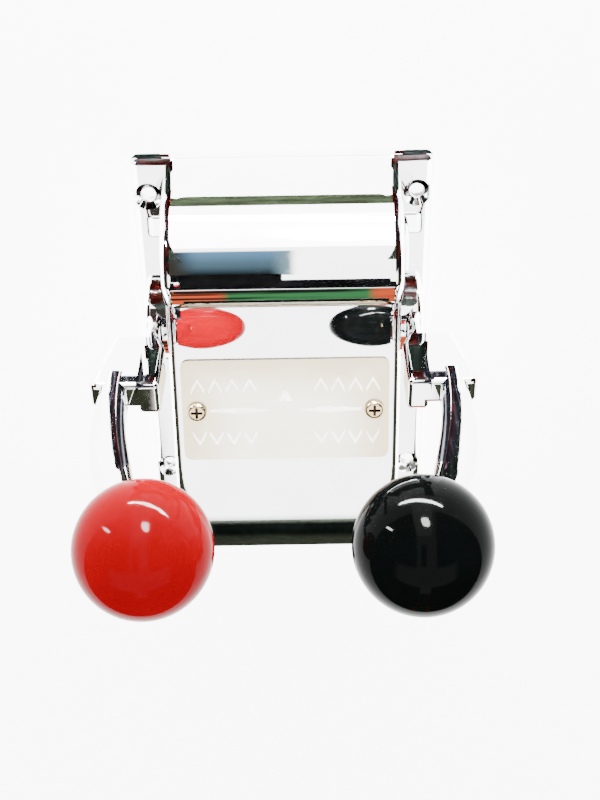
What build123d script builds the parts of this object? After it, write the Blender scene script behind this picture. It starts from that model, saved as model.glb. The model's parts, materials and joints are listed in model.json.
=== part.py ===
"""Twin-lever marine engine control head.

A hollow chromed casting stands on a screw-down flange.  A shift lever (starboard, black knob) and a
throttle lever (port, red knob) turn on stub shafts in its two side bosses.  Inside, each shaft
carries a crank with a pin for the engine's push-pull cable.

Frame, in millimetres: +Z up out of the mounting face, +Y ahead, +X starboard.  The origin is the
centre of the mounting face.  Paired pieces are modelled to starboard and mirrored to port.
"""

import os
from math import cos, radians, sin, sqrt, tan

from build123d import *

os.makedirs("parts", exist_ok=True)

# ---------------------------------------------------------------- driving dimensions
# Flange
FLANGE_WIDTH = 99.5
FLANGE_LENGTH = 133.0
FLANGE_THICKNESS = 6.0
FLANGE_CORNER_RADIUS = 2.5
FLANGE_END_ROUND = 2.8
HOLE_SPACING_X = 88.9
HOLE_SPACING_Y = 107.0
HOLE_RADIUS = 2.5
COUNTERSINK_RADIUS = 4.6
COUNTERSINK_ANGLE = 90.0

# Casting
BODY_WIDTH = 77.5
BODY_DRAFT = 1.8                    # lean of each side wall, degrees
WALL = 3.2
EDGE_ROUND = 3.6
NOSE_RADIUS = 24.5
NOSE_CENTRE_Y = 38.4
NOSE_CENTRE_Z = 24.9
NOSE_CREASE_Z = 30.0                # where the fore wall meets the nose
NOSE_TURN_START = 7.0               # the nose turns down here, degrees from straight up
NOSE_TURN_END = -15.0
NOSE_TURN_RADIUS = 4.0
NOSE_FALL_RADIUS = 20.0             # shallow fall from the turn to the nose's aft end
NOSE_END_Y = 32.2                   # crisp edge where the nose stands above the deck
PANEL_WIDTH = 68.6                  # raised panel round the nose
PANEL_RISE = 0.6
PANEL_CORNER = 5.0
PANEL_LOW_ANGLE = 77.0              # fore end of the panel, degrees from straight up
LAND_HEIGHT = 46.7                  # middle of the flat land that carries the name plate
LAND_TILT = 8.0                     # the land rises aft, degrees
LAND_MARGIN = 0.4                   # land beyond the plate's edges
DECK_FORE_RADIUS = 150.0
DECK_AFT_RADIUS = 120.0
DECK_END_ROUND = 17.0

# Name plate
PLATE_WIDTH = 67.2
PLATE_LENGTH = 35.0
PLATE_THICKNESS = 0.9
PLATE_CENTRE_Y = -4.4
PLATE_CORNER_RADIUS = 2.6
PLATE_SCREW_INSET = 4.8             # from the plate's short edges
PLATE_SCREW_RADIUS = 1.75
PLATE_SCREW_LENGTH = 7.0
PLATE_SCREW_HEAD_RADIUS = 3.15
PLATE_SCREW_HEAD_HEIGHT = 1.9
CROSS_SLOT_WIDTH = 0.9
CROSS_SLOT_LENGTH = 3.8
SCREW_PAD_RADIUS = 4.5
SCREW_PAD_DEPTH = 5.5

# Lever axis and running gear
AXIS_Y = 23.0
AXIS_DROP = 16.7                    # lever axis below the land's middle
FIT = 0.05                          # radial clearance of every round fit
COLLAR_RADIUS = 15.5                # round collar outside the side wall
COLLAR_START = 1.95                 # these four lie inward from the casting's side at its base
BOSS_OUTER_INSET = 0.35
BOSS_INNER_INSET = 9.75
SHAFT_INNER_INSET = 19.55
BOSS_RADIUS = 9.3
SHAFT_RADIUS = 5.0
SHAFT_FLAT = 3.9                    # half distance across the driving flats
BUSHING_WALL = 1.45
BUSHING_FLANGE_RADIUS = 8.0
BUSHING_FLANGE_THICKNESS = 1.5
HUB_GAP = 0.3                       # running gap beside each hub
CRANK_THICKNESS = 5.0
CRANK_HUB_RADIUS = 8.4
CRANK_FAN_RADIUS = 14.8             # fan that passes the plunger
CRANK_FAN_MARGIN = 20.0             # fan beyond the swing on each side, degrees
CRANK_THROW = 20.0
CRANK_END_RADIUS = 5.8
RING_THICKNESS = 1.1
RING_WIDTH = 3.0
RING_OPENING = 4.0
GROOVE_DEPTH = 0.6                  # below the driving flats
CABLE_PIN_RADIUS = 2.5
CABLE_PIN_HEAD_RADIUS = 3.8
CABLE_PIN_HEAD_THICKNESS = 1.4
CABLE_PIN_REACH = 10.0              # from the crank's inner face to the pin's end
CLIP_RADIUS = 4.6
CLIP_INSET = 1.6

# Detent and friction brake, each in a blind bore of its boss
PLUNGER_OFFSET = 11.2               # below the lever axis
PLUNGER_WALL = 2.0
PLUNGER_BORE_RADIUS = 2.5
PLUNGER_BORE_DEPTH = 7.4
DETENT_BALL_RADIUS = 2.35
DETENT_GROOVE_CLEARANCE = 0.2
DETENT_BALL_DIP = 0.3               # how far the ball enters the crank's track
DETENT_POCKET_EXTRA = 0.45
LEVER_SWING = 40.0                  # each way from the middle position
BRAKE_PAD_LENGTH = 4.2
BRAKE_GAP = 0.1
SPRING_WIRE = 0.7
SPRING_TURNS = 4.0

# Levers
LEVER_TILT = 3.0                    # middle position leans aft, degrees
HUB_RADIUS = 12.5
HUB_THICKNESS = 5.3
HUB_ROUND = 1.8
FOOT_INNER_INSET = 2.75             # inward from the casting's side at its base
FOOT_OUTER_REACH = 3.75             # reaches are outward from it
FOOT_FLARE_LOW = 8.0                # heights up the lever where the foot leaves the hub
FOOT_FLARE_HIGH = 15.0
FOOT_NARROW_UP = 22.0               # and where it leans in over the casting
FOOT_WIDE_UP = 30.0
FOOT_THICKNESS = 10.6
FOOT_TOP = 51.0
FOOT_CORNER = 1.5
FOOT_ROUND = 1.6
WING_THICKNESS = 8.4
WING_BOTTOM = 23.0
WING_ROOT_REACH = 0.75
WING_BOTTOM_REACH = 12.95
WING_TOP_REACH = 18.25
WING_CORNER = 2.5
WING_ROUND = 1.6
BOW_ROUND = 3.1
BOW_STATIONS = (                    # reach, up the lever, width, thickness, lean in degrees
    (10.65, 44.0, 7.8, 11.3, 0.0),
    (10.65, 53.0, 7.9, 11.2, 0.0),
    (10.35, 62.0, 8.8, 11.0, 3.0),
    (9.45, 73.0, 10.0, 10.6, 7.5),
    (7.75, 83.0, 10.5, 10.3, 12.5),
    (5.45, 92.0, 10.0, 9.9, 18.5),
)
NECK_WIDTH = 9.2
NECK_THICKNESS = 9.5
KNOB_LEAN = 25.0                    # lean of the bow where it enters the knob

# Knobs
KNOB_RADIUS = 17.5
KNOB_CENTRE_INSET = 4.45
KNOB_CENTRE_UP = 117.1
KNOB_SEAT_RADIUS = 5.9
INSERT_RADIUS = 4.8
INSERT_LENGTH = 15.0
STUD_RADIUS = 3.0
STUD_LENGTH = 23.0
STUD_IN_LEVER = 10.0

# Hub screw
HUB_SCREW_RADIUS = 2.5
HUB_SCREW_LENGTH = 12.0
HUB_SCREW_HEAD_RADIUS = 4.6
HUB_SCREW_HEAD_HEIGHT = 1.5
HUB_SCREW_SOCKET = 1.9              # radius over the hexagon socket's corners
HUB_WASHER_RADIUS = 7.5
HUB_WASHER_THICKNESS = 1.0
HUB_SEAT_DEPTH = 2.5                # the washer's recess, so the screw's head ends flush
HEAD_CROWN = 0.65                   # share of each screw head's height that is rounded over
DRIVE_DEPTH = 0.65                  # share of each screw head's height that the recess takes
CROSS_TAPER = 12.0                  # degrees
END_CHAMFER = 0.4

# ---------------------------------------------------------------- places worked out from them
side_x = BODY_WIDTH / 2              # the casting's side at its base
boss_outer_x = side_x - BOSS_OUTER_INSET
boss_inner_x = side_x - BOSS_INNER_INSET
collar_inner_x = side_x - COLLAR_START
shaft_inner_x = side_x - SHAFT_INNER_INSET
AXIS_Z = LAND_HEIGHT - AXIS_DROP
hub_inner_x = boss_outer_x + HUB_GAP
hub_outer_x = hub_inner_x + HUB_THICKNESS
washer_inner_x = hub_outer_x - HUB_SEAT_DEPTH
shaft_outer_x = washer_inner_x
flange_inner_x = boss_inner_x - BUSHING_FLANGE_THICKNESS
crank_outer_x = flange_inner_x - HUB_GAP
crank_inner_x = crank_outer_x - CRANK_THICKNESS
ring_outer_x = crank_inner_x
bushing_radius = SHAFT_RADIUS + FIT + BUSHING_WALL
knob_seat_drop = sqrt(KNOB_RADIUS**2 - KNOB_SEAT_RADIUS**2)
draft_run = tan(radians(BODY_DRAFT))
half_length = FLANGE_LENGTH / 2
foot_inner_x = side_x - FOOT_INNER_INSET
foot_outer_x = side_x + FOOT_OUTER_REACH
wing_root_x = side_x + WING_ROOT_REACH
plate_screw_x = PLATE_WIDTH / 2 - PLATE_SCREW_INSET

lever_up = Vector(0, -sin(radians(LEVER_TILT)), cos(radians(LEVER_TILT)))
lever_fore = Vector(0, cos(radians(LEVER_TILT)), sin(radians(LEVER_TILT)))
outward = Vector(1, 0, 0)


def polar_point(radius, angle):
    """(x, y) at that radius and angle in degrees."""
    return (radius * cos(radians(angle)), radius * sin(radians(angle)))


def on_shaft(x):
    """Plane across the lever axis at x, facing outward, with its own Y up the lever."""
    return Plane(origin=(x, AXIS_Y, AXIS_Z), x_dir=lever_fore, z_dir=outward)


def in_lever(out, up, fore=0.0):
    """Point given as distance outward, distance up the lever and distance ahead of its middle."""
    return Vector(0, AXIS_Y, AXIS_Z) + outward * out + lever_up * up + lever_fore * fore


def across_bow(out, up, lean):
    """Plane square to the bow where it leans inward by that many degrees."""
    along = lever_up * cos(radians(lean)) - outward * sin(radians(lean))
    across = outward * cos(radians(lean)) + lever_up * sin(radians(lean))
    return Plane(origin=in_lever(out, up), x_dir=across, z_dir=along)


def lever_height(edge):
    """How far an edge's middle lies up the lever from its axis."""
    return (edge.center() - Vector(0, AXIS_Y, AXIS_Z)).dot(lever_up)


def lever_depth(edge):
    """How far an edge's middle lies ahead of the lever's middle plane."""
    return (edge.center() - Vector(0, AXIS_Y, AXIS_Z)).dot(lever_fore)


lever_face = Plane(origin=(0, AXIS_Y, AXIS_Z), x_dir=outward, z_dir=-lever_fore)


def save(piece, name):
    """Write one finished piece as its own node."""
    piece.part.label = name
    export_step(piece.part, f"parts/{name}.step")


def save_pair(piece, starboard_name, port_name):
    """Write a starboard piece and its mirror image to port."""
    save(piece, starboard_name)
    with BuildPart() as port_piece:
        add(piece.part)
        mirror(about=Plane.YZ, mode=Mode.REPLACE)
    save(port_piece, port_name)


land_middle = Vector(0, PLATE_CENTRE_Y, LAND_HEIGHT)
land_normal = Vector(0, sin(radians(LAND_TILT)), cos(radians(LAND_TILT)))
land_fore = Vector(0, cos(radians(LAND_TILT)), -sin(radians(LAND_TILT)))
land = Plane(origin=land_middle, x_dir=outward, z_dir=land_normal)
land_reach = PLATE_LENGTH / 2 + LAND_MARGIN


# ---------------------------------------------------------------- housing
def side_point(vector):
    """(Y, Z) of a point in the side view."""
    return (vector.Y, vector.Z)


def deck_outline(inset, fore_y):
    """Side outline of the deck: fore fall, flat tilted land, crowned aft part, rounded aft end."""
    fore_end = land_middle + land_fore * land_reach
    aft_end = land_middle - land_fore * land_reach
    # every curve keeps its centre, so an inset outline runs parallel to the outer one
    fore_centre = fore_end - land_normal * DECK_FORE_RADIUS
    aft_centre = aft_end - land_normal * DECK_AFT_RADIUS
    round_y = DECK_END_ROUND - half_length
    reach = DECK_AFT_RADIUS - DECK_END_ROUND
    round_z = aft_centre.Z + sqrt(reach**2 - (round_y - aft_centre.Y) ** 2)
    round_centre = Vector(0, round_y, round_z)
    meet = aft_centre + (round_centre - aft_centre).normalized() * (DECK_AFT_RADIUS - inset)
    fore_radius = DECK_FORE_RADIUS - inset
    fore_z = fore_centre.Z + sqrt(fore_radius**2 - (fore_y - fore_centre.Y) ** 2)
    fore_top = side_point(fore_end - land_normal * inset)
    aft_top = side_point(aft_end - land_normal * inset)
    aft_wall_y = inset - half_length
    with BuildLine() as line:
        Polyline((aft_wall_y, round_z), (aft_wall_y, 0), (fore_y, 0), (fore_y, fore_z))
        RadiusArc((fore_y, fore_z), fore_top, -fore_radius)
        Line(fore_top, aft_top)
        RadiusArc(aft_top, side_point(meet), inset - DECK_AFT_RADIUS)
        RadiusArc(side_point(meet), (aft_wall_y, round_z), inset - DECK_END_ROUND)
    return line.line


def from_up(centre, radius, angle):
    """Side-view point at that angle from straight up, leaning ahead, about a centre."""
    return (centre[0] + radius * sin(radians(angle)), centre[1] + radius * cos(radians(angle)))


def nose_points(inset, end_y):
    """Side-view points where the nose's crown, turn and fall meet, and its aft end."""
    crown_centre = (NOSE_CENTRE_Y, NOSE_CENTRE_Z)
    turn_centre = from_up(crown_centre, NOSE_RADIUS - NOSE_TURN_RADIUS, NOSE_TURN_START)
    fall_centre = from_up(turn_centre, NOSE_TURN_RADIUS - NOSE_FALL_RADIUS, NOSE_TURN_END)
    crown_end = from_up(crown_centre, NOSE_RADIUS - inset, NOSE_TURN_START)
    turn_end = from_up(turn_centre, NOSE_TURN_RADIUS - inset, NOSE_TURN_END)
    fall_radius = NOSE_FALL_RADIUS - inset
    end_z = fall_centre[1] + sqrt(fall_radius**2 - (fall_centre[0] - end_y) ** 2)
    return crown_end, turn_end, (end_y, end_z)


def nose_outline(inset, end_y):
    """Side outline of the nose: fore wall, crease, round nose, cut off square at end_y."""
    crease_rise = NOSE_CREASE_Z - NOSE_CENTRE_Z
    crease = (NOSE_CENTRE_Y + sqrt((NOSE_RADIUS - inset) ** 2 - crease_rise**2), NOSE_CREASE_Z)
    crown_end, turn_end, end = nose_points(inset, end_y)
    with BuildLine() as line:
        Polyline(end, (end_y, 0), (half_length - inset, 0), crease)
        RadiusArc(crease, crown_end, inset - NOSE_RADIUS)
        RadiusArc(crown_end, turn_end, inset - NOSE_TURN_RADIUS)
        RadiusArc(turn_end, end, inset - NOSE_FALL_RADIUS)
    return line.line


def drafted_block(outline, inset):
    """Solid with that side outline, its side walls leaning in by the draft."""
    base = side_x - inset
    tall = NOSE_CENTRE_Z + 2 * NOSE_RADIUS
    with BuildPart() as block:
        with BuildSketch(Plane.YZ):
            add(outline)
            make_face()
        extrude(amount=base, both=True)
        with BuildSketch(Plane.XZ):
            with BuildLine():
                Polyline(
                    (-base, 0),
                    (base, 0),
                    (base - tall * draft_run, tall),
                    (-base + tall * draft_run, tall),
                    close=True,
                )
            make_face()
        extrude(amount=FLANGE_LENGTH, both=True, mode=Mode.INTERSECT)
    return block


def round_sides(block, radius):
    """Round the edges where a block's side walls meet its top and end faces."""
    sides = block.faces().sort_by(Axis.X)
    rims = []
    for wall in (sides[0], sides[-1]):
        rims += [
            edge
            for edge in wall.edges()
            if edge.bounding_box().max.Z > FIT and abs(edge.center().Y - NOSE_END_Y) > 0.01
        ]
    fillet(rims, radius)


nose_block = drafted_block(nose_outline(0, NOSE_END_Y), 0)
with nose_block:
    round_sides(nose_block, EDGE_ROUND)

deck_block = drafted_block(deck_outline(0, NOSE_END_Y), 0)
with deck_block:
    round_sides(deck_block, EDGE_ROUND)

inner_end_y = NOSE_END_Y + WALL
nose_cavity = drafted_block(nose_outline(WALL, inner_end_y), WALL)
deck_cavity = drafted_block(deck_outline(WALL, inner_end_y), WALL)

panel_low = from_up((NOSE_CENTRE_Y, NOSE_CENTRE_Z), NOSE_RADIUS + PANEL_RISE, PANEL_LOW_ANGLE)
crown_end, turn_end, panel_end = nose_points(-PANEL_RISE, NOSE_END_Y)
with BuildPart() as nose_panel:
    with BuildSketch(Plane.YZ):
        with BuildLine():
            RadiusArc(panel_low, crown_end, -PANEL_RISE - NOSE_RADIUS)
            RadiusArc(crown_end, turn_end, -PANEL_RISE - NOSE_TURN_RADIUS)
            RadiusArc(turn_end, panel_end, -PANEL_RISE - NOSE_FALL_RADIUS)
            Polyline(panel_end, (NOSE_END_Y, NOSE_CENTRE_Z), (NOSE_CENTRE_Y, NOSE_CENTRE_Z), panel_low)
        make_face()
    extrude(amount=PANEL_WIDTH / 2, both=True)
    # round the panel's two lower corners, seen from ahead
    low_face = nose_panel.faces().filter_by(GeomType.PLANE).sort_by(Axis.Y)[-1]
    corner_edges = low_face.edges().filter_by(lambda edge: abs(edge.center().X) > PANEL_WIDTH / 2 - FIT)
    fillet(corner_edges, PANEL_CORNER)

plate_screw_places = [(-plate_screw_x, 0), (plate_screw_x, 0)]


def beside(side, x):
    """Plane across the lever axis at that distance to one side, facing outward, its own Y up."""
    return Plane(origin=(side * x, AXIS_Y, AXIS_Z), x_dir=(0, side, 0), z_dir=(side, 0, 0))


with BuildPart() as housing:
    # flange with rounded ends
    with BuildSketch():
        RectangleRounded(FLANGE_WIDTH, FLANGE_LENGTH, FLANGE_CORNER_RADIUS)
    extrude(amount=FLANGE_THICKNESS)
    fillet(housing.faces().sort_by(Axis.Z)[-1].edges().filter_by(Axis.X), FLANGE_END_ROUND)
    # casting and its side collars
    add(nose_block.part)
    add(nose_panel.part)
    add(deck_block.part)
    for side in (-1, 1):
        with BuildSketch(beside(side, collar_inner_x)):
            Circle(COLLAR_RADIUS)
        extrude(amount=boss_outer_x - collar_inner_x)
    add(nose_cavity.part, mode=Mode.SUBTRACT)
    add(deck_cavity.part, mode=Mode.SUBTRACT)
    # inner bosses with a lobe for the plunger, and pads for the name plate's screws
    for side in (-1, 1):
        with BuildSketch(beside(side, boss_inner_x)):
            Circle(BOSS_RADIUS)
            with Locations((0, -PLUNGER_OFFSET)):
                Circle(PLUNGER_BORE_RADIUS + PLUNGER_WALL)
            with Locations((0, -PLUNGER_OFFSET / 2)):
                Rectangle(2 * (PLUNGER_BORE_RADIUS + PLUNGER_WALL), PLUNGER_OFFSET)
        extrude(amount=side_x - WALL / 2 - boss_inner_x)
    with BuildSketch(land.offset(-SCREW_PAD_DEPTH)):
        with Locations(*plate_screw_places):
            Circle(SCREW_PAD_RADIUS)
    extrude(amount=SCREW_PAD_DEPTH - WALL / 2)
    # shaft bores and blind plunger bores
    for side in (-1, 1):
        with BuildSketch(beside(side, boss_inner_x)):
            Circle(bushing_radius + FIT)
        extrude(amount=boss_outer_x, mode=Mode.SUBTRACT)
        with BuildSketch(beside(side, boss_inner_x)):
            with Locations((0, -PLUNGER_OFFSET)):
                Circle(PLUNGER_BORE_RADIUS)
        extrude(amount=PLUNGER_BORE_DEPTH, mode=Mode.SUBTRACT)
    # screw holes
    with BuildSketch(land):
        with Locations(*plate_screw_places):
            Circle(PLATE_SCREW_RADIUS + FIT)
    extrude(amount=-SCREW_PAD_DEPTH, mode=Mode.SUBTRACT)
    with Locations(Plane.XY.offset(FLANGE_THICKNESS)):
        with GridLocations(HOLE_SPACING_X, HOLE_SPACING_Y, 2, 2):
            CounterSinkHole(
                HOLE_RADIUS,
                COUNTERSINK_RADIUS,
                depth=FLANGE_THICKNESS,
                counter_sink_angle=COUNTERSINK_ANGLE,
            )
save(housing, "housing")

# ---------------------------------------------------------------- name plate and its screws
with BuildPart() as name_plate:
    with BuildSketch(land):
        RectangleRounded(PLATE_WIDTH, PLATE_LENGTH, PLATE_CORNER_RADIUS)
        with Locations(*plate_screw_places):
            Circle(PLATE_SCREW_RADIUS + FIT, mode=Mode.SUBTRACT)
    extrude(amount=PLATE_THICKNESS)
save(name_plate, "name_plate")

plate_top = land.offset(PLATE_THICKNESS)
head_top = land.offset(PLATE_THICKNESS + PLATE_SCREW_HEAD_HEIGHT)
with BuildPart() as name_plate_screws:
    with BuildSketch(plate_top):
        with Locations(*plate_screw_places):
            Circle(PLATE_SCREW_HEAD_RADIUS)
    extrude(amount=PLATE_SCREW_HEAD_HEIGHT)
    crowns = name_plate_screws.faces().group_by(Axis.Z)[-1].edges()
    fillet(crowns, PLATE_SCREW_HEAD_HEIGHT * HEAD_CROWN)
    with BuildSketch(plate_top):
        with Locations(*plate_screw_places):
            Circle(PLATE_SCREW_RADIUS)
    extrude(amount=-PLATE_SCREW_LENGTH)
    # cross recesses
    with BuildSketch(head_top):
        with Locations(*plate_screw_places):
            Rectangle(CROSS_SLOT_LENGTH, CROSS_SLOT_WIDTH)
            Rectangle(CROSS_SLOT_WIDTH, CROSS_SLOT_LENGTH)
    extrude(amount=-PLATE_SCREW_HEAD_HEIGHT * DRIVE_DEPTH, taper=CROSS_TAPER, mode=Mode.SUBTRACT)
save(name_plate_screws, "name_plate_screws")

# ---------------------------------------------------------------- shafts and bushings
with BuildPart() as bushing:
    with BuildSketch(on_shaft(boss_inner_x)):
        Circle(bushing_radius)
    extrude(amount=boss_outer_x - boss_inner_x)
    with BuildSketch(on_shaft(boss_inner_x)):
        Circle(BUSHING_FLANGE_RADIUS)
    extrude(amount=-BUSHING_FLANGE_THICKNESS)
    with BuildSketch(on_shaft(flange_inner_x)):
        Circle(SHAFT_RADIUS + FIT)
    extrude(amount=boss_outer_x, mode=Mode.SUBTRACT)
save_pair(bushing, "shift_bushing", "throttle_bushing")


def drive_section(clearance):
    """Sketch of the round section with two driving flats, grown by a clearance."""
    with BuildSketch(mode=Mode.PRIVATE) as section:
        Circle(SHAFT_RADIUS + clearance)
        Rectangle(2 * (SHAFT_FLAT + clearance), 3 * SHAFT_RADIUS, mode=Mode.INTERSECT)
    return section.sketch


groove_radius = SHAFT_FLAT - GROOVE_DEPTH
with BuildPart() as shaft:
    with BuildSketch(on_shaft(shaft_inner_x)):
        add(drive_section(0))
    extrude(amount=shaft_outer_x - shaft_inner_x)
    with BuildSketch(on_shaft(flange_inner_x)):
        Circle(SHAFT_RADIUS)
    extrude(amount=boss_outer_x - flange_inner_x)
    with BuildSketch(on_shaft(ring_outer_x)):
        Circle(2 * SHAFT_RADIUS)
        Circle(groove_radius, mode=Mode.SUBTRACT)
    extrude(amount=-RING_THICKNESS, mode=Mode.SUBTRACT)
    chamfer(shaft.faces().sort_by(Axis.X)[0].edges(), END_CHAMFER)
    with BuildSketch(on_shaft(shaft_outer_x)):
        Circle(HUB_SCREW_RADIUS + FIT)
    extrude(amount=-HUB_SCREW_LENGTH, mode=Mode.SUBTRACT)
save_pair(shaft, "shift_shaft", "throttle_shaft")


def split_ring(plane, inner_radius, outer_radius, thickness):
    """Flat retaining ring with one opening, inward from the plane."""
    with BuildPart() as ring:
        with BuildSketch(plane):
            Circle(outer_radius)
            Circle(inner_radius, mode=Mode.SUBTRACT)
            with Locations((0, -outer_radius)):
                Rectangle(RING_OPENING, 2 * outer_radius, mode=Mode.SUBTRACT)
        extrude(amount=-thickness)
    return ring


shaft_ring = split_ring(
    on_shaft(ring_outer_x),
    groove_radius + FIT,
    groove_radius + RING_WIDTH,
    RING_THICKNESS - FIT,
)
save_pair(shaft_ring, "shift_shaft_ring", "throttle_shaft_ring")


# ---------------------------------------------------------------- cranks
track_radius = DETENT_BALL_RADIUS + DETENT_GROOVE_CLEARANCE
ball_centre_x = crank_outer_x - DETENT_BALL_DIP + DETENT_BALL_RADIUS


def crank(with_track):
    """Crank: hub on the shaft's flats, fan past the plunger, arm down to the cable pin."""
    half_angle = LEVER_SWING + CRANK_FAN_MARGIN
    with BuildPart() as piece:
        with BuildSketch(on_shaft(crank_inner_x)):
            with BuildLine():
                CenterArc((0, 0), CRANK_FAN_RADIUS, -90 - half_angle, 2 * half_angle)
                Polyline(
                    polar_point(CRANK_FAN_RADIUS, half_angle - 90),
                    (0, 0),
                    polar_point(CRANK_FAN_RADIUS, -90 - half_angle),
                )
            make_face()
            Circle(CRANK_HUB_RADIUS)
            with Locations((0, -CRANK_THROW)):
                Circle(CRANK_END_RADIUS)
            with Locations((0, -CRANK_THROW / 2)):
                Rectangle(2 * CRANK_END_RADIUS, CRANK_THROW)
            with Locations((0, -CRANK_THROW)):
                Circle(CABLE_PIN_RADIUS + FIT, mode=Mode.SUBTRACT)
            add(drive_section(FIT), mode=Mode.SUBTRACT)
        extrude(amount=CRANK_THICKNESS)
        if with_track:
            # round track under the detent ball, with a deeper pocket at each of the three positions
            with Locations(on_shaft(ball_centre_x)):
                Torus(PLUNGER_OFFSET, track_radius, mode=Mode.SUBTRACT)
            for swing in (-LEVER_SWING, 0, LEVER_SWING):
                pocket = polar_point(PLUNGER_OFFSET, swing - LEVER_TILT - 90)
                with Locations(on_shaft(ball_centre_x - DETENT_POCKET_EXTRA)):
                    with Locations((pocket[0], pocket[1], 0)):
                        Sphere(track_radius, mode=Mode.SUBTRACT)
    return piece


shift_crank = crank(True)
save(shift_crank, "shift_crank")
with BuildPart() as throttle_crank:
    add(crank(False).part)
    mirror(about=Plane.YZ, mode=Mode.REPLACE)
save(throttle_crank, "throttle_crank")

# ---------------------------------------------------------------- cable pins and their clips
with BuildPart() as cable_pin:
    with BuildSketch(on_shaft(crank_outer_x)):
        with Locations((0, -CRANK_THROW)):
            Circle(CABLE_PIN_HEAD_RADIUS)
    extrude(amount=CABLE_PIN_HEAD_THICKNESS)
    pin_length = CRANK_THICKNESS + CABLE_PIN_REACH
    with BuildSketch(on_shaft(crank_outer_x)):
        with Locations((0, -CRANK_THROW)):
            Circle(CABLE_PIN_RADIUS)
    extrude(amount=-pin_length)
    clip_groove_x = crank_inner_x - CABLE_PIN_REACH + CLIP_INSET
    with BuildSketch(on_shaft(clip_groove_x)):
        with Locations((0, -CRANK_THROW)):
            Circle(2 * CABLE_PIN_RADIUS)
            Circle(CABLE_PIN_RADIUS - GROOVE_DEPTH, mode=Mode.SUBTRACT)
    extrude(amount=RING_THICKNESS, mode=Mode.SUBTRACT)
save_pair(cable_pin, "shift_cable_pin", "throttle_cable_pin")

clip_plane = on_shaft(clip_groove_x + RING_THICKNESS)
clip_plane.origin = clip_plane.origin - lever_up * CRANK_THROW
clip_inner_radius = CABLE_PIN_RADIUS - GROOVE_DEPTH + FIT
cable_clip = split_ring(clip_plane, clip_inner_radius, CLIP_RADIUS, RING_THICKNESS - FIT)
save_pair(cable_clip, "shift_cable_clip", "throttle_cable_clip")

# ---------------------------------------------------------------- detent and friction brake
plunger_z = AXIS_Z - PLUNGER_OFFSET
plunger_plane = Plane(origin=(boss_inner_x, AXIS_Y, plunger_z), x_dir=(0, 1, 0), z_dir=(1, 0, 0))
bore_end_x = boss_inner_x + PLUNGER_BORE_DEPTH


def coil_spring(start_x, end_x):
    """Compression spring along the plunger bore between two places."""
    wire = SPRING_WIRE / 2
    coil_radius = PLUNGER_BORE_RADIUS - FIT - SPRING_WIRE
    travel = end_x - start_x - SPRING_WIRE
    with BuildPart() as spring:
        with BuildLine() as path:
            Helix(
                travel / SPRING_TURNS,
                travel,
                coil_radius,
                center=(start_x + wire, AXIS_Y, plunger_z),
                direction=(1, 0, 0),
            )
        with BuildSketch(Plane(origin=path.line @ 0, z_dir=path.line % 0)):
            Circle(wire)
        sweep(is_frenet=True)
    return spring


with BuildPart() as detent_ball:
    with Locations((ball_centre_x, AXIS_Y, plunger_z)):
        Sphere(DETENT_BALL_RADIUS)
save(detent_ball, "shift_detent_ball")
save(coil_spring(ball_centre_x + DETENT_BALL_RADIUS, bore_end_x), "shift_detent_spring")

pad_inner_x = crank_outer_x + BRAKE_GAP
with BuildPart() as brake_pad:
    with BuildSketch(plunger_plane):
        Circle(PLUNGER_BORE_RADIUS - FIT)
    extrude(amount=pad_inner_x + BRAKE_PAD_LENGTH - boss_inner_x)
    with BuildSketch(plunger_plane):
        Circle(PLUNGER_BORE_RADIUS - FIT)
    extrude(amount=pad_inner_x - boss_inner_x)
    mirror(about=Plane.YZ, mode=Mode.REPLACE)
save(brake_pad, "throttle_brake_pad")
with BuildPart() as brake_spring:
    add(coil_spring(pad_inner_x + BRAKE_PAD_LENGTH, bore_end_x).part)
    mirror(about=Plane.YZ, mode=Mode.REPLACE)
save(brake_spring, "throttle_brake_spring")

# ---------------------------------------------------------------- levers
knob_centre = in_lever(side_x - KNOB_CENTRE_INSET, KNOB_CENTRE_UP)
knob_along = lever_up * cos(radians(KNOB_LEAN)) - outward * sin(radians(KNOB_LEAN))
knob_across = outward * cos(radians(KNOB_LEAN)) + lever_up * sin(radians(KNOB_LEAN))
knob_seat = Plane(origin=knob_centre - knob_along * knob_seat_drop, x_dir=knob_across, z_dir=knob_along)

with BuildPart() as foot:
    # square-shouldered foot above the hub
    with BuildSketch(lever_face) as foot_face:
        with BuildLine():
            Polyline(
                (hub_inner_x, 0),
                (hub_inner_x, FOOT_NARROW_UP),
                (foot_inner_x, FOOT_WIDE_UP),
                (foot_inner_x, FOOT_TOP),
                (foot_outer_x, FOOT_TOP),
                (foot_outer_x, FOOT_FLARE_HIGH),
                (hub_outer_x, FOOT_FLARE_LOW),
                (hub_outer_x, 0),
                close=True,
            )
        make_face()
        fillet(foot_face.vertices().group_by(Axis.Z)[-1], FOOT_CORNER)
    extrude(amount=FOOT_THICKNESS / 2, both=True)
    long_edges = foot.edges().filter_by(lambda edge: abs(lever_depth(edge)) > 0.49 * FOOT_THICKNESS)
    fillet(long_edges.filter_by(lambda edge: lever_height(edge) > FOOT_ROUND), FOOT_ROUND)

with BuildPart() as wing:
    # thinner wing that flares outward to the bow's foot
    with BuildSketch(lever_face.offset(-FOOT_THICKNESS / 2)) as wing_face:
        with BuildLine():
            Polyline(
                (wing_root_x, WING_BOTTOM),
                (wing_root_x, FOOT_TOP),
                (side_x + WING_TOP_REACH, FOOT_TOP),
                (side_x + WING_BOTTOM_REACH, WING_BOTTOM),
                close=True,
            )
        make_face()
        fillet(wing_face.vertices().sort_by(Axis.X)[-2:], WING_CORNER)
    extrude(amount=WING_THICKNESS)
    wing_rims = wing.edges().filter_by(lambda edge: edge.center().X > foot_outer_x)
    fillet(wing_rims, WING_ROUND)

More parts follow.
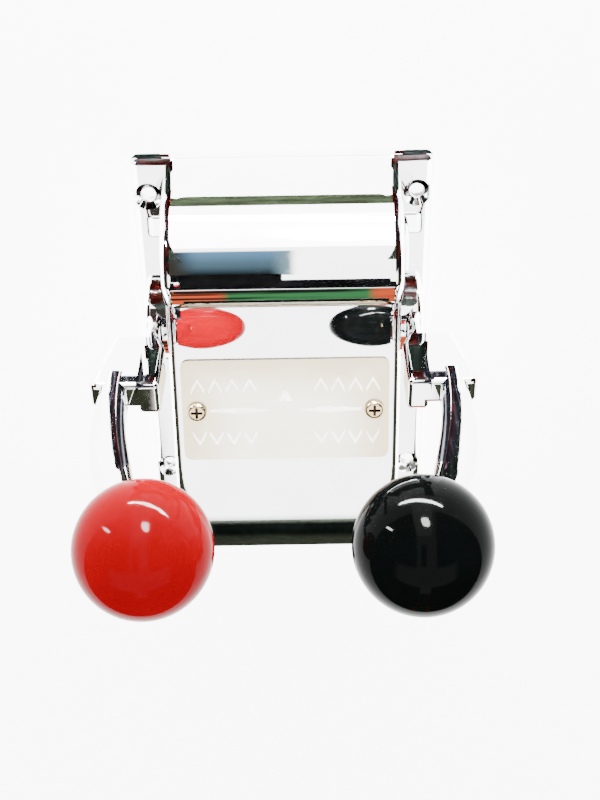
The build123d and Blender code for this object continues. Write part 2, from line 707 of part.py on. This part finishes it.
with BuildPart() as bow:
    for reach, up, width, thick, lean in BOW_STATIONS:
        with BuildSketch(across_bow(side_x + reach, up, lean)):
            RectangleRounded(width, thick, BOW_ROUND)
    with BuildSketch(knob_seat):
        RectangleRounded(NECK_WIDTH, NECK_THICKNESS, BOW_ROUND)
    loft()

with BuildPart() as lever:
    with BuildSketch(on_shaft(hub_inner_x)):
        Circle(HUB_RADIUS)
    extrude(amount=HUB_THICKNESS)
    fillet(lever.edges().filter_by(GeomType.CIRCLE).sort_by(Axis.X)[-1], HUB_ROUND)
    add(foot.part)
    add(wing.part)
    add(bow.part)
    with BuildSketch(on_shaft(hub_inner_x)):
        add(drive_section(FIT))
    extrude(amount=HUB_THICKNESS, mode=Mode.SUBTRACT)
    with BuildSketch(on_shaft(washer_inner_x)):
        Circle(HUB_WASHER_RADIUS + FIT)
    extrude(amount=HUB_THICKNESS, mode=Mode.SUBTRACT)
    with BuildSketch(knob_seat):
        Circle(STUD_RADIUS + FIT)
    extrude(amount=-STUD_IN_LEVER, mode=Mode.SUBTRACT)
save_pair(lever, "shift_lever", "throttle_lever")

# ---------------------------------------------------------------- hub washers and screws
with BuildPart() as hub_washer:
    with BuildSketch(on_shaft(washer_inner_x)):
        Circle(HUB_WASHER_RADIUS)
        Circle(HUB_SCREW_RADIUS + FIT, mode=Mode.SUBTRACT)
    extrude(amount=HUB_WASHER_THICKNESS)
    outer_rims = hub_washer.edges().filter_by(GeomType.CIRCLE).group_by(Axis.X)[-1]
    chamfer(outer_rims.sort_by(SortBy.LENGTH)[-1], END_CHAMFER)
save_pair(hub_washer, "shift_hub_washer", "throttle_hub_washer")

washer_outer_x = washer_inner_x + HUB_WASHER_THICKNESS
with BuildPart() as hub_screw:
    with BuildSketch(on_shaft(washer_outer_x)):
        Circle(HUB_SCREW_HEAD_RADIUS)
    extrude(amount=HUB_SCREW_HEAD_HEIGHT)
    fillet(hub_screw.edges().group_by(Axis.X)[-1], HUB_SCREW_HEAD_HEIGHT * HEAD_CROWN)
    with BuildSketch(on_shaft(washer_outer_x + HUB_SCREW_HEAD_HEIGHT)):
        RegularPolygon(HUB_SCREW_SOCKET, 6)
    extrude(amount=-HUB_SCREW_HEAD_HEIGHT * DRIVE_DEPTH, mode=Mode.SUBTRACT)
    with BuildSketch(on_shaft(washer_outer_x)):
        Circle(HUB_SCREW_RADIUS)
    extrude(amount=-HUB_SCREW_LENGTH)
save_pair(hub_screw, "shift_hub_screw", "throttle_hub_screw")

# ---------------------------------------------------------------- knobs, inserts and studs
with BuildPart() as knob:
    with Locations(Plane(origin=knob_centre, x_dir=knob_across, z_dir=knob_along)):
        Sphere(KNOB_RADIUS)
    with BuildSketch(knob_seat):
        Circle(KNOB_RADIUS)
    extrude(amount=-KNOB_RADIUS, mode=Mode.SUBTRACT)
    with BuildSketch(knob_seat):
        Circle(INSERT_RADIUS + FIT)
    extrude(amount=INSERT_LENGTH, mode=Mode.SUBTRACT)
save_pair(knob, "shift_knob", "throttle_knob")

with BuildPart() as knob_insert:
    with BuildSketch(knob_seat):
        Circle(INSERT_RADIUS)
    extrude(amount=INSERT_LENGTH)
    with BuildSketch(knob_seat):
        Circle(STUD_RADIUS + FIT)
    extrude(amount=STUD_LENGTH - STUD_IN_LEVER, mode=Mode.SUBTRACT)
save_pair(knob_insert, "shift_knob_insert", "throttle_knob_insert")

with BuildPart() as knob_stud:
    with BuildSketch(knob_seat.offset(-STUD_IN_LEVER)):
        Circle(STUD_RADIUS)
    extrude(amount=STUD_LENGTH)
save_pair(knob_stud, "shift_knob_stud", "throttle_knob_stud")
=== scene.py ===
import json
import math

import bmesh
import bpy
from mathutils import Matrix, Vector


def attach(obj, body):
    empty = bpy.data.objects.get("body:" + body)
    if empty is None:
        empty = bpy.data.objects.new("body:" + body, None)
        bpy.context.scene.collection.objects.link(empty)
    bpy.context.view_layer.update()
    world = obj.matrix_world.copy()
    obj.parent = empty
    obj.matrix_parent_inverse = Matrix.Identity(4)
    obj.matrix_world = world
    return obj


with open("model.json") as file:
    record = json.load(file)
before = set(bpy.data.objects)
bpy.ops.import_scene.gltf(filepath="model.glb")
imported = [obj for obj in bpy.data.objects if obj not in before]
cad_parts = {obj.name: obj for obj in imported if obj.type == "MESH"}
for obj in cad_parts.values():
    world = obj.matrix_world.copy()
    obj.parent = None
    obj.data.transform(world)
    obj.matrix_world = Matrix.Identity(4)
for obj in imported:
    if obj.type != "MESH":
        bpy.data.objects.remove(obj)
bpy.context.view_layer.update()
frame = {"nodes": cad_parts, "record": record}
NODES = frame["nodes"]

# Sizes are in millimetres, but in metres inside materials and where a comment says so.
MM = 0.001
LAND_TILT = math.radians(8.0)                # the land under the plate falls toward the nose
PLATE_AHEAD = Vector((0, math.cos(LAND_TILT), -math.sin(LAND_TILT)))
PLATE_UP = Vector((0, math.sin(LAND_TILT), math.cos(LAND_TILT)))
PLATE_THICKNESS = 0.9
PLATE_TOP = Vector((0, -4.4, 46.7)) + PLATE_UP * PLATE_THICKNESS
SCREW_X = 28.8                               # the plate screws, to each side
HOLE_X, HOLE_Y = 44.45, 53.5                 # the mounting holes

MARK_RISE = 0.03                             # the marks' layer on the plate
CHEVRON_WIDTH, CHEVRON_HEIGHT, CHEVRON_BAR = 4.4, 5.4, 1.5
CHEVRON_COUNT, CHEVRON_START, CHEVRON_PITCH = 4, 11.5, 5.6
CHEVRON_AHEAD, CHEVRON_AFT = 8.6, -9.8       # the two rows

CHROME = (0.88, 0.89, 0.90)
BRIGHT_STEEL = (0.72, 0.73, 0.74)
MARK_PALE = (0.86, 0.83, 0.76)
SHADED = 0.94                                # tone of a metal's duller patches

FLOOR_HALF = 3                               # metres
WALL_RADIUS, WALL_FOOT, WALL_TOP = 2.9, -0.01, 4.0      # metres
FLOOR_GLOW = 7.0
WALL_GLOW = FLOOR_GLOW * 1.8
WORLD_GLOW = 6.5
PANE_GLOW = 14.0
CAMERA_PLACE = (4.7, 198.8, 380.5)
CAMERA_BACK, CAMERA_DOWN = 0.514, 0.858      # its aim: aft and down
CAMERA_ROLL = math.radians(0.9)
CAMERA_LENS, CAMERA_SENSOR = 54, 36


# ------------------------------------------------------------------ materials
class Nodes:
    """Short calls for building one node tree."""

    def __init__(self, tree):
        self.tree = tree
        tree.nodes.clear()

    def add(self, kind, **inputs):
        node = self.tree.nodes.new(kind)
        for key, value in inputs.items():
            name = key.replace("_", " ")
            if name in node.inputs:
                self.feed(node.inputs[name], value)
            else:
                setattr(node, key, value)
        return node

    def feed(self, socket, value):
        if isinstance(value, bpy.types.NodeSocket):
            self.tree.links.new(value, socket)
        else:
            socket.default_value = value

    def math(self, operation, *values):
        node = self.tree.nodes.new("ShaderNodeMath")
        node.operation = operation
        for socket, value in zip(node.inputs, values):
            self.feed(socket, value)
        return node.outputs[0]

    def mix(self, factor, one, two):
        node = self.tree.nodes.new("ShaderNodeMix")
        node.data_type = "RGBA"
        self.feed(node.inputs[0], factor)
        self.feed(node.inputs[6], one)
        self.feed(node.inputs[7], two)
        return node.outputs[2]

    def smooth(self, value, low, high):
        node = self.tree.nodes.new("ShaderNodeMapRange")
        node.interpolation_type = "SMOOTHSTEP"
        self.feed(node.inputs["Value"], value)
        node.inputs["From Min"].default_value = low
        node.inputs["From Max"].default_value = high
        return node.outputs[0]

    def noise(self, vector, scale, detail=3.0):
        node = self.tree.nodes.new("ShaderNodeTexNoise")
        self.feed(node.inputs["Vector"], vector)
        node.inputs["Scale"].default_value = scale
        node.inputs["Detail"].default_value = detail
        return node.outputs[0]

    def length(self, one, two):
        squares = [self.math("MULTIPLY", value, value) for value in (one, two)]
        return self.math("SQRT", self.math("ADD", *squares))


def new_material(name):
    """Material with an emptied tree, its Principled shader and object coordinates."""
    material = bpy.data.materials.new(name)
    material.use_nodes = True
    n = Nodes(material.node_tree)
    output = n.add("ShaderNodeOutputMaterial")
    shader = n.add("ShaderNodeBsdfPrincipled")
    n.tree.links.new(shader.outputs[0], output.inputs[0])
    place = n.add("ShaderNodeTexCoord").outputs["Object"]
    return material, n, shader, place


def rgb(r, g, b):
    return (r, g, b, 1.0)


def add_object(name, data):
    """New object in the scene for a mesh or a camera."""
    thing = bpy.data.objects.new(name, data)
    bpy.context.scene.collection.objects.link(thing)
    return thing


def metal(name, colour, rough, rough_spread, bump=0.0, bump_scale=900.0, stretch=(1, 1, 1), painted_shade_and_tone=None):
    """Plated or bare metal: fine wear in its roughness, a trace of waviness, and, where given, painted
    shade and tone changes laid over its tone.
    """
    material, n, shader, place = new_material(name)
    scaled = n.add("ShaderNodeMapping", Vector=place, Scale=stretch).outputs[0]
    wear = n.noise(scaled, 420.0, 5.0)
    patch = n.noise(scaled, 60.0, 2.0)
    shader.inputs["Metallic"].default_value = 1.0
    tone = n.mix(n.smooth(patch, 0.3, 0.75), rgb(*colour), rgb(*[c * SHADED for c in colour]))
    # where given, painted shade (and on the plate its warmer ends) is laid over the tone
    if painted_shade_and_tone:
        tone = painted_shade_and_tone(n, place, tone)
    n.feed(shader.inputs["Base Color"], tone)
    spread = n.math("MULTIPLY", n.smooth(wear, 0.35, 0.8), rough_spread)
    n.feed(shader.inputs["Roughness"], n.math("ADD", rough, spread))
    if bump:
        fine = n.noise(scaled, bump_scale, 2.0)
        ripple = n.add("ShaderNodeBump", Strength=bump, Distance=0.0001, Height=fine)
        n.feed(shader.inputs["Normal"], ripple.outputs[0])
    return material


def land_place(n, place):
    """Distances from the plate's middle: across, ahead along the land, and up off the plate's top."""
    spot = n.add("ShaderNodeSeparateXYZ", Vector=place).outputs
    cos, sin = math.cos(LAND_TILT), math.sin(LAND_TILT)
    ahead = n.math("SUBTRACT", n.math("MULTIPLY", spot[1], cos), n.math("MULTIPLY", spot[2], sin))
    up = n.math("ADD", n.math("MULTIPLY", spot[1], sin), n.math("MULTIPLY", spot[2], cos))
    ahead = n.math("SUBTRACT", ahead, PLATE_TOP.dot(PLATE_AHEAD) * MM)
    up = n.math("SUBTRACT", up, PLATE_TOP.dot(PLATE_UP) * MM)
    return spot[0], ahead, up


def plate_tone_and_edge_shade(n, place, plain):
    """Warmer and duller toward the plate's ends and fore edge, with painted shade darkening its edge
    faces.
    """
    across, ahead, up = land_place(n, place)
    cloud = n.math("MULTIPLY", n.noise(place, 60.0, 3.0), 0.012)
    reach = n.math("ADD", n.math("ABSOLUTE", across), cloud)
    fore = n.smooth(n.math("ADD", ahead, cloud), 0.008, 0.024)
    ends = n.math("MAXIMUM", n.smooth(reach, 0.018, 0.040), fore)
    tone = n.mix(ends, plain, rgb(0.58, 0.49, 0.33))
    # painted shade: below its top face the plate's edges are painted near black
    return n.mix(n.smooth(up, -0.0001, -0.0004), tone, rgb(0.05, 0.04, 0.03))


def countersink_shade(n, place, plain):
    """Painted shade: a dark, patchy band in the countersinks of the mounting holes."""
    spot = n.add("ShaderNodeSeparateXYZ", Vector=place).outputs
    off_x = n.math("SUBTRACT", n.math("ABSOLUTE", spot[0]), HOLE_X * MM)
    off_y = n.math("SUBTRACT", n.math("ABSOLUTE", spot[1]), HOLE_Y * MM)
    radius = n.length(off_x, off_y)
    # painted shade in the upper band of each countersink, broken up by noise
    painted_shade_and_tone = n.math("MULTIPLY", n.smooth(radius, 0.0049, 0.0045), n.smooth(spot[2], 0.00597, 0.0057))
    painted_shade_and_tone = n.math("MULTIPLY", painted_shade_and_tone, n.smooth(n.noise(place, 330.0, 2.0), 0.40, 0.58))
    return n.mix(painted_shade_and_tone, plain, rgb(0.022, 0.022, 0.020))


def screw_recess_shade(n, place, plain):
    """Painted shade in a plate screw's cross recess and under its rim."""
    across, ahead, up = land_place(n, place)
    radius = n.length(n.math("SUBTRACT", n.math("ABSOLUTE", across), SCREW_X * MM), ahead)
    # painted shade deep in the cross recess
    recess_shade = n.math("MULTIPLY", n.smooth(up, 0.00178, 0.00150), n.smooth(radius, 0.0026, 0.0021))
    # painted shade where the head's rim meets the plate
    rim = n.smooth(up, 0.0008, 0.0003)
    return n.mix(n.math("MAXIMUM", recess_shade, rim), plain, rgb(0.020, 0.012, 0.006))


def gloss(name, colour, deep):
    """Polished phenolic: deep colour under a hard clear gloss."""
    material, n, shader, place = new_material(name)
    cloud = n.noise(place, 70.0, 3.0)
    n.feed(shader.inputs["Base Color"], n.mix(n.smooth(cloud, 0.3, 0.7), rgb(*colour), rgb(*deep)))
    rough = n.math("MULTIPLY", n.smooth(n.noise(place, 500.0, 4.0), 0.4, 0.8), 0.03)
    n.feed(shader.inputs["Roughness"], n.math("ADD", rough, 0.06))
    shader.inputs["IOR"].default_value = 1.06
    return material


def make_materials():
    """One material for each slot of the record."""
    return {
        # the casting's colour carries painted shade in its countersinks
        "chrome_casting": metal("chrome_casting", CHROME, 0.015, 0.02, 0.02, 120.0,
                                painted_shade_and_tone=countersink_shade),
        "chrome_lever": metal("chrome_lever", CHROME, 0.015, 0.02, 0.02, 160.0),
        # the plate's colour carries painted shade on its edge faces
        "satin_plate": metal("satin_plate", (0.82, 0.77, 0.66), 0.32, 0.10, 0.25, 700.0,
                             stretch=(0.06, 1.2, 1), painted_shade_and_tone=plate_tone_and_edge_shade),
        "steel_fastener": metal("steel_fastener", (0.40, 0.30, 0.17), 0.14, 0.10, 0.1),
        "bright_steel": metal("bright_steel", BRIGHT_STEEL, 0.22, 0.12, 0.1),
        "spring_steel": metal("spring_steel", (0.20, 0.20, 0.22), 0.38, 0.15, 0.2),
        "zinc_steel": metal("zinc_steel", (0.64, 0.66, 0.69), 0.33, 0.15, 0.25, 260.0),
        "bronze": metal("bronze", (0.66, 0.46, 0.24), 0.34, 0.12, 0.2),
        "brass_insert": metal("brass_insert", (0.80, 0.62, 0.30), 0.22, 0.1, 0.1),
        "nylon_pad": gloss("nylon_pad", (0.82, 0.81, 0.76), (0.74, 0.73, 0.68)),
        "black_knob": gloss("black_knob", (0.0018, 0.0024, 0.0023), (0.0013, 0.0017, 0.0016)),
        "red_knob": gloss("red_knob", (0.23, 0.0, 0.0035), (0.215, 0.0, 0.003)),
    }


# ------------------------------------------------------------------ name plate markings
NEEDLE = ((24.5, -0.45), (24.5, 0.45), (14.0, 1.1), (4.5, 0.0), (14.0, -1.1))
TRIANGLE = ((-2.4, 3.2), (2.4, 3.2), (0.0, 7.4))


def chevron(x, ahead, sign):
    """Arrow-like mark in plate coordinates; sign 1 points ahead and -1 aft."""
    half, tip, bar = CHEVRON_WIDTH / 2, CHEVRON_HEIGHT / 2, CHEVRON_BAR
    outline = ((-half, -tip), (0, tip - bar), (half, -tip),
               (half, -tip + bar), (0, tip), (-half, -tip + bar))
    return [(x + a, ahead + sign * b) for a, b in outline]


def plate_marks():
    """Outlines of the marks: chevrons ahead and aft, needles from the screws, a centre triangle."""
    marks = []
    for side in (-1, 1):
        for i in range(CHEVRON_COUNT):
            x = side * (CHEVRON_START + CHEVRON_PITCH * i)
            marks += [chevron(x, CHEVRON_AHEAD, 1), chevron(x, CHEVRON_AFT, -1)]
        marks.append([(side * x, ahead) for x, ahead in NEEDLE])
    marks.append(TRIANGLE)
    return marks


def build_plate_marks(material):
    """The marks as one shallow frosted layer on the plate's top."""
    mesh = bpy.data.meshes.new("plate_marks")
    shape = bmesh.new()
    for outline in plate_marks():
        rings = []
        for rise in (0.0, MARK_RISE):
            lift = PLATE_UP * rise
            ring = [(PLATE_TOP + Vector((a, 0, 0)) + PLATE_AHEAD * b + lift) * MM for a, b in outline]
            rings.append([shape.verts.new(point) for point in ring])
        shape.faces.new(rings[1])
        shape.faces.new(rings[0][::-1])
        count = len(outline)
        for i in range(count):
            j = (i + 1) % count
            shape.faces.new((rings[0][i], rings[0][j], rings[1][j], rings[1][i]))
    bmesh.ops.recalc_face_normals(shape, faces=shape.faces)
    shape.to_mesh(mesh)
    shape.free()
    mesh.materials.append(material)
    marks = add_object("plate_marks", mesh)
    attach(marks, "base")


# ------------------------------------------------------------------ studio
def add_camera():
    """Camera at the photo's angle: above and ahead, looking back and down."""
    data = bpy.data.cameras.new("camera")
    data.lens, data.sensor_width = CAMERA_LENS, CAMERA_SENSOR
    data.clip_start = 0.01
    camera = add_object("camera", data)
    right, up = Vector((1, 0, 0)), Vector((0, CAMERA_DOWN, -CAMERA_BACK)).normalized()
    forward = Vector((0, -CAMERA_BACK, -CAMERA_DOWN)).normalized()
    turned_right = right * math.cos(CAMERA_ROLL) - up * math.sin(CAMERA_ROLL)
    turned_up = up * math.cos(CAMERA_ROLL) + right * math.sin(CAMERA_ROLL)
    matrix = Matrix.Identity(4)
    for column, axis in enumerate((turned_right, turned_up, -forward)):
        for row in range(3):
            matrix[row][column] = axis[row]
    matrix.translation = Vector(CAMERA_PLACE) * MM
    camera.matrix_world = matrix
    bpy.context.scene.camera = camera


def add_floor():
    """Plain pale floor under the mounting face."""
    mesh = bpy.data.meshes.new("floor")
    corners = [(x * FLOOR_HALF, y * FLOOR_HALF, 0) for x, y in ((-1, -1), (1, -1), (1, 1), (-1, 1))]
    mesh.from_pydata(corners, [], [(0, 1, 2, 3)])
    floor = add_object("floor", mesh)
    material, n, shader, place = new_material("floor_paper")
    grain = n.smooth(n.noise(place, 300.0, 2.0), 0.3, 0.7)
    tone = n.mix(grain, rgb(0.95, 0.95, 0.95), rgb(0.93, 0.93, 0.93))
    n.feed(shader.inputs["Base Color"], tone)
    shader.inputs["Roughness"].default_value = 0.9
    shader.inputs["Emission Color"].default_value = rgb(1.0, 1.0, 1.0)
    shader.inputs["Emission Strength"].default_value = FLOOR_GLOW
    mesh.materials.append(material)


def add_backdrop():
    """Pale round wall behind everything, seen by the camera alone."""
    steps = 64
    points = []
    for i in range(steps):
        angle = 2 * math.pi * i / steps
        for height in (WALL_FOOT, WALL_TOP):
            points.append((WALL_RADIUS * math.cos(angle), WALL_RADIUS * math.sin(angle), height))
    count = len(points)
    faces = [(i, i + 1, (i + 3) % count, (i + 2) % count) for i in range(0, count, 2)]
    mesh = bpy.data.meshes.new("backdrop")
    mesh.from_pydata(points, [], faces)
    wall = add_object("backdrop", mesh)
    mesh.materials.append(bright_cloth("backdrop_cloth", WALL_GLOW))
    wall.visible_diffuse = wall.visible_glossy = wall.visible_transmission = wall.visible_shadow = False


WHITE = rgb(1.0, 1.0, 1.0)
SIDE_RED, SIDE_DARK = rgb(0.022, 0.003, 0.002), rgb(0.002, 0.0022, 0.0024)
BACK_ORANGE, BACK_GREEN = rgb(0.19, 0.026, 0.009), rgb(0.012, 0.052, 0.018)
BACK_OLIVE, BACK_DARK = rgb(0.012, 0.013, 0.007), rgb(0.003, 0.0035, 0.003)
CLOTH_LOW, CLOTH_MIDDLE = rgb(0.002, 0.003, 0.003), rgb(0.022, 0.038, 0.050)
CLOTH_HIGH, CLOTH_OUTER = rgb(0.036, 0.078, 0.125), rgb(0.010, 0.009, 0.007)
CLOTH_INNER = rgb(0.060, 0.095, 0.110)


def add_world(bright):
    """White tent above and ahead, with darker coloured rooms low down behind and to the sides."""
    world = bpy.data.worlds.new("tent")
    world.use_nodes = True
    n = Nodes(world.node_tree)
    output = n.add("ShaderNodeOutputWorld")
    direction = n.add("ShaderNodeTexCoord").outputs["Generated"]
    axes = n.add("ShaderNodeSeparateXYZ", Vector=direction).outputs
    x, y, z = axes[0], axes[1], axes[2]
    lean = n.math("DEGREES", n.math("ARCTAN2", y, z))            # from straight up toward ahead
    across = n.math("ABSOLUTE", x)
    side_lean = n.math("DEGREES", n.math("ARCTAN2", across, z))
    patches = n.noise(direction, 5.0, 3.0)

    beside = n.math("MULTIPLY", n.smooth(side_lean, 38.0, 52.0), n.smooth(y, 0.45, 0.30))
    far_side = n.math("MULTIPLY", n.smooth(across, 0.22, 0.30), n.smooth(y, -0.05, 0.08))
    side_room = n.mix(n.smooth(patches, 0.42, 0.52), SIDE_RED, SIDE_DARK)
    sky = n.mix(n.math("MAXIMUM", beside, far_side), WHITE, side_room)

    outer = n.math("MULTIPLY", n.smooth(lean, -30.0, -34.0), n.smooth(across, 0.105, 0.125))
    behind = n.math("MAXIMUM", n.smooth(lean, -41.0, -46.0), outer)
    behind = n.math("MULTIPLY", behind, n.smooth(lean, -112.0, -100.0))
    back_room = n.mix(n.smooth(across, 0.068, 0.056), BACK_ORANGE, BACK_GREEN)
    back_room = n.mix(n.smooth(across, 0.108, 0.125), back_room, BACK_OLIVE)
    band_x, band_y = n.math("MULTIPLY", x, 5.0), n.math("MULTIPLY", lean, 0.11)
    bands = n.noise(n.add("ShaderNodeCombineXYZ", X=band_x, Y=band_y).outputs[0], 1.0, 4.0)
    back_room = n.mix(n.smooth(bands, 0.46, 0.60), back_room, BACK_DARK)
    sky = n.mix(behind, sky, back_room)

    person = n.math("MULTIPLY", n.smooth(lean, 3.0, 4.5), n.smooth(lean, 40.0, 37.0))
    person = n.math("MULTIPLY", person, n.smooth(x, 0.0, -0.008))
    person = n.math("MULTIPLY", person, n.smooth(x, -0.16, -0.15))
    cloth = n.mix(n.smooth(lean, 3.0, 20.0), CLOTH_LOW, CLOTH_MIDDLE)
    cloth = n.mix(n.smooth(lean, 18.0, 38.0), cloth, CLOTH_HIGH)
    cloth = n.mix(n.smooth(x, -0.080, -0.105), cloth, CLOTH_OUTER)
    cloth = n.mix(n.smooth(x, -0.024, -0.006), cloth, CLOTH_INNER)
    sky = n.mix(person, sky, cloth)

    light = n.add("ShaderNodeBackground", Color=sky, Strength=bright)
    n.tree.links.new(light.outputs[0], output.inputs[0])
    bpy.context.scene.world = world


def add_card(name, points, faces, material):
    """Studio card that only shows in glossy reflections."""
    mesh = bpy.data.meshes.new(name)
    mesh.from_pydata([[c * MM for c in point] for point in points], [], faces)
    card = add_object(name, mesh)
    mesh.materials.append(material)
    card.visible_camera = card.visible_diffuse = card.visible_shadow = False


def make_dull(shader):
    shader.inputs["Roughness"].default_value = 0.9
    shader.inputs["Specular IOR Level"].default_value = 0.0


def flag_cloth(name, colour, other=None, grain=(40, 40, 40), low=0.35, high=0.65):
    """Dull cloth of two tones; grain stretches their pattern."""
    material, n, shader, place = new_material(name)
    scaled = n.add("ShaderNodeMapping", Vector=place, Scale=grain).outputs[0]
    tone = n.smooth(n.noise(scaled, 1.0, 3.0), low, high)
    other = other or [c * 0.4 for c in colour]
    n.feed(shader.inputs["Base Color"], n.mix(tone, rgb(*colour), rgb(*other)))
    make_dull(shader)
    return material


def flag_dusk(name):
    """Cloth that is black above and pales to olive toward its lower edge."""
    material, n, shader, place = new_material(name)
    height = n.add("ShaderNodeSeparateXYZ", Vector=place).outputs[2]
    pale = n.smooth(height, 0.056, 0.034)
    edge = n.smooth(height, 0.063, 0.067)
    tone = n.mix(pale, rgb(0.0015, 0.0025, 0.002), rgb(0.10, 0.115, 0.08))
    n.feed(shader.inputs["Base Color"], n.mix(edge, tone, rgb(0.12, 0.14, 0.11)))
    make_dull(shader)
    return material


def bright_cloth(name, strength):
    """Lit cloth with a faint cloudy tint."""
    material, n, shader, place = new_material(name)
    fade = n.smooth(n.noise(place, 4.0, 2.0), 0.1, 0.6)
    n.feed(shader.inputs["Emission Color"], n.mix(fade, rgb(0.9, 0.95, 1.0), rgb(1.0, 0.99, 0.97)))
    shader.inputs["Emission Strength"].default_value = strength
    shader.inputs["Base Color"].default_value = rgb(0.0, 0.0, 0.0)
    return material


def add_softbox(name, centre, across, up, strength, arch=0.0):
    """Bright card spanned by two half-vectors, its ends lifted by arch."""
    steps = 16
    points, faces = [], []
    for i in range(steps + 1):
        t = i / steps * 2 - 1
        swell = math.sqrt(max(0.0, 1 - t ** 4))
        for edge in (swell, -swell):
            place = Vector(centre) + Vector(across) * t + Vector(up) * edge
            points.append(place + Vector((0, 0, arch * t * t)))
    for i in range(steps):
        faces.append((2 * i, 2 * i + 1, 2 * i + 3, 2 * i + 2))
    add_card(name, points, faces, bright_cloth(name, strength))


def quad(name, corners, material):
    """Card with four corners."""
    add_card(name, corners, [(0, 1, 2, 3)], material)


def strip(name, rows, material):
    """Card of two-point rows, one quad between each row and the next."""
    faces = [(2 * i, 2 * i + 1, 2 * i + 3, 2 * i + 2) for i in range(len(rows) - 1)]
    add_card(name, [point for row in rows for point in row], faces, material)


AHEAD_Y = 80                                 # plane of the flags ahead of the levers
AHEAD_INNER, AHEAD_SPLIT = 37.5, 50          # their inner side, and where red cloth meets streaked
# Outlines of the flags: height and reach to the side; on the floor, place ahead, near and far side.
AHEAD_EDGE = {-1: ((1, 64.5), (16, 64), (38, 60.5), (48, 58.5), (60, 55.3), (63, 51)),
              1: ((1, 62.5), (21, 61.3), (36, 59.7), (52, 56), (60, 53.5), (63, 51))}
FLOOR_EDGE = ((62, 40, 50.5), (79, 40, 51), (86, 44, 63.5), (95, 47, 65.5), (110, 49, 66.3),
              (126, 50, 66), (165, 50, 64))
BOW_EDGE = ((82, 43), (85, 43), (103, 41.4), (115, 39.8))


def add_windows():
    """Large bright panes ahead and a low one to each side, seen only in glossy reflections."""
    pane = bright_cloth("pane", PANE_GLOW)
    quad("pane_ahead", ((-120, 500, -20), (120, 500, -20), (120, 500, 520), (-120, 500, 520)), pane)
    for side in (-1, 1):
        quad("pane_side", [(side * 65, y, z) for y, z in ((-66, 1), (66, 1), (66, 45), (-66, 45))], pane)


def add_flags():
    """Dark flags over the nose, behind the deck and round each lever, dark strips on the floor, and a
    grey sheet of painted floor shade ahead.
    """
    black = flag_cloth("flag_black", (0.002, 0.002, 0.0022))
    red = flag_cloth("flag_red", (0.010, 0.0010, 0.0008))
    olive = flag_cloth("flag_olive", (0.022, 0.028, 0.024))
    # grey cloth for the painted floor shade
    grey = flag_cloth("floor_shade_grey", (0.075, 0.10, 0.055))
    dim, pale_dim = (0.004, 0.006, 0.005), (0.012, 0.017, 0.014)
    dark, violet, silver = (0.003, 0.003, 0.004), (0.06, 0.052, 0.072), (0.26, 0.26, 0.30)
    night = flag_cloth("flag_night", dim, pale_dim, (300, 20, 1), 0.45, 0.65)
    upright = flag_cloth("flag_upright", dark, violet, (520, 1, 7), 0.50, 0.70)
    beside = flag_cloth("flag_beside", dark, silver, (1, 260, 9), 0.52, 0.70)
    quad("flag_over", ((-37, 32, 104), (37, 32, 104), (37, 40, 104), (-37, 40, 104)), black)
    quad("flag_over_left", ((-40, 39, 104.5), (-1, 39, 104.5), (-1, 50, 104.5), (-40, 50, 104.5)), black)
    quad("flag_lip", ((-37, 31, 60), (37, 31, 60), (37, 38.5, 60), (-37, 38.5, 60)), black)
    quad("flag_aft", ((-40, -62, 7), (40, -62, 7), (40, -62, 66), (-40, -62, 66)), flag_dusk("flag_dusk"))
    # painted shade: a grey sheet on the floor ahead, seen only in reflections, stands in for the floor's
    # shade by the housing
    quad("floor_shade_card", ((-60, 96, 0.5), (60, 96, 0.5), (60, 150, 0.5), (-60, 150, 0.5)), grey)
    for side in (-1, 1):
        edge = AHEAD_EDGE[side]
        inner, split = side * AHEAD_INNER, side * AHEAD_SPLIT
        strip("flag_ahead", [[(x, AHEAD_Y, z) for x in (inner, split)] for z in (1, 78)], red)
        strip("flag_streaks", [[(split, AHEAD_Y, z), (side * x, AHEAD_Y, z)] for z, x in edge], upright)
        strip("flag_above", [[(x, AHEAD_Y, z) for x in (inner, split)] for z in (78, 120)], olive)
        strip("flag_edge", [[(side * x, y, 0.7) for x in (37, 51.5)] for y in (66.8, 73)], red)
        rows = [[(side * x, y, 1.0) for x in (near, far)] for y, near, far in FLOOR_EDGE]
        strip("flag_strip", rows, night)
        strip("flag_bow", [[(side * x, y, z) for y in (21, 38)] for z, x in BOW_EDGE], beside)
        strip("flag_bow_low", [[(side * 43, y, z) for y in (27.5, 40)] for z in (62, 82)], beside)


materials = make_materials()
for part in frame["record"]["subparts"]:
    node = NODES[part["node"]]
    node.data.materials.clear()
    node.data.materials.append(materials[part["material_slot"]])
# the plate screws' colour carries painted shade in their recesses and under their rims
plate_screw = metal("plate_screw", (0.46, 0.35, 0.19), 0.16, 0.12, 0.2, 500.0, painted_shade_and_tone=screw_recess_shade)
NODES["name_plate_screws"].data.materials[0] = plate_screw

build_plate_marks(metal("engraved_marks", MARK_PALE, 0.55, 0.1, 0.3, 1500.0))
add_camera()
add_floor()
add_backdrop()
add_world(WORLD_GLOW)
add_flags()
add_windows()
add_softbox("softbox_wide", (14, 250, 54), (135, 0, 35), (0, 0, 13), 3000, 6)
add_softbox("softbox_low", (34, 420, 267), (42, 0, 0), (12, 0, 55), 1500)
add_softbox("softbox_side", (-345, 282, 188), (8, 10, 0), (20, 15, 45), 1500)
